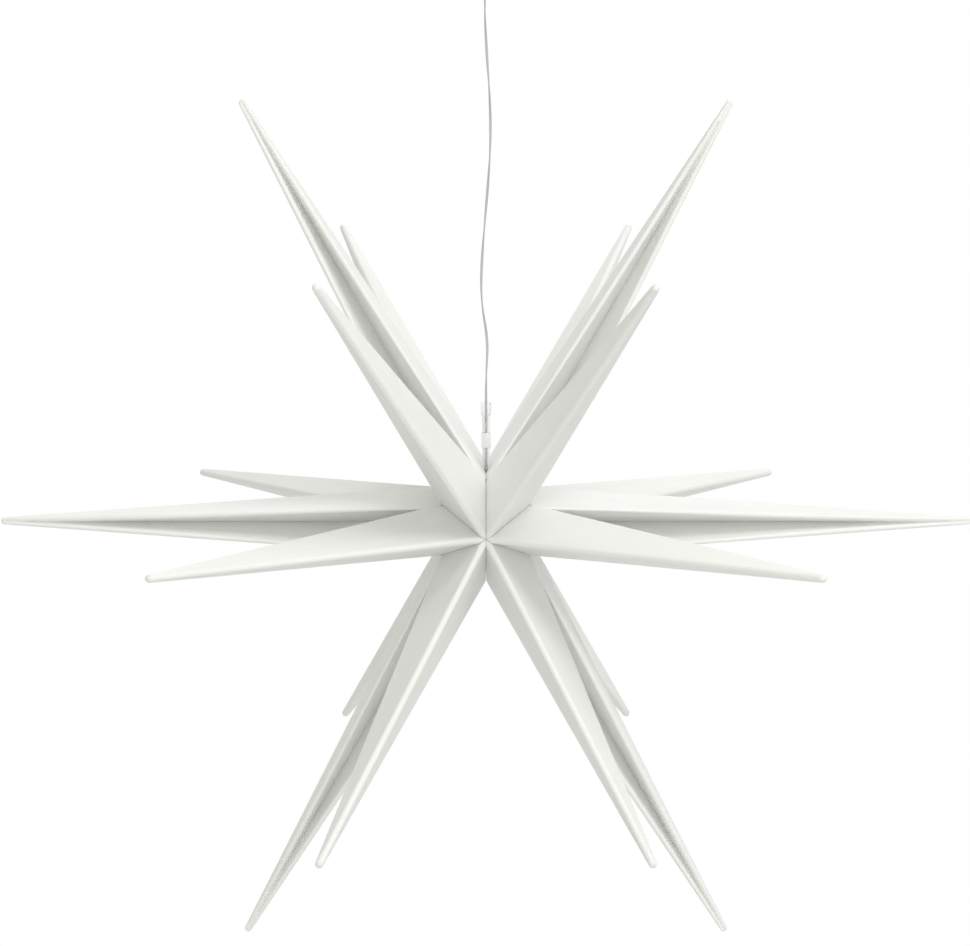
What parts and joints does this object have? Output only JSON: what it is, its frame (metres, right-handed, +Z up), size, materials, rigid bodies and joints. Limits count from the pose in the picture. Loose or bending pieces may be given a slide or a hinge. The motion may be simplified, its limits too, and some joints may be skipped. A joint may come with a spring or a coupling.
{
  "type": "hanging star lamp",
  "caption": "Hanging star lamp: long hollow white points radiate from a small hub, carried by a thin lead with a clear gland and a ceiling cup.",
  "frame": {"origin": "on the ceiling, at the middle of the strap's top face, above the star's centre", "axes": "+Z up, -Y towards the viewer of the star's front, +X to that viewer's right"},
  "size_m": [1, 0.7726, 1.0508],
  "materials": {
    "point_plastic": "matte translucent white moulding with soft edges",
    "hub_plastic": "plain white moulding",
    "clear_plastic": "clear moulded plastic",
    "lead_sheath": "grey clear sheathed two-core lead",
    "cup_plastic": "white moulding",
    "driver_plastic": "plain case",
    "terminal_plastic": "plain block",
    "strip_board": "white board",
    "led_yellow": "phosphor face",
    "core_aluminium": "satin",
    "strap_steel": "zinc plated",
    "screw_steel": "zinc plated"
  },
  "bodies": {
    "ceiling": {"ceiling_cup": "cup_plastic", "ceiling_strap": "strap_steel", "cup_screws": "screw_steel", "driver_box": "driver_plastic", "cord_grip": "cup_plastic", "grip_nut": "hub_plastic", "lead_stub": "lead_sheath"},
    "lead": {"lead": "lead_sheath"},
    "star": {"front_point_1": "point_plastic", "front_point_2": "point_plastic", "front_point_3": "point_plastic", "front_point_4": "point_plastic", "front_point_5": "point_plastic", "front_point_6": "point_plastic", "middle_point_1": "point_plastic", "middle_point_2": "point_plastic", "middle_point_3": "point_plastic", "middle_point_4": "point_plastic", "middle_point_5": "point_plastic", "middle_point_6": "point_plastic", "rear_point_1": "point_plastic", "rear_point_2": "point_plastic", "rear_point_3": "point_plastic", "rear_point_4": "point_plastic", "rear_point_5": "point_plastic", "rear_point_6": "point_plastic", "hub_drum": "hub_plastic", "front_spider": "hub_plastic", "rear_spider": "hub_plastic", "hub_screws": "screw_steel", "lamp_core": "core_aluminium", "led_strips": "strip_board", "led_chips": "led_yellow", "terminal_block": "terminal_plastic", "gland_cap": "clear_plastic", "gland_sleeve": "clear_plastic", "gland_nut": "clear_plastic", "gland_stem": "clear_plastic", "stem_nut": "hub_plastic", "lead_tail": "lead_sheath"}
  },
  "joints": [
    {"name": "lead_swing", "type": "hinge", "parent": "ceiling", "child": "lead", "pos_m": [0, 0, -0.052], "axis": [0, 1, 0], "range_deg": [-20, 20]},
    {"name": "star_turn", "type": "hinge", "parent": "lead", "child": "star", "pos_m": [0, 0, -0.4945], "axis": [0, 0, 1], "range_deg": [-180, 180]}
  ]
}
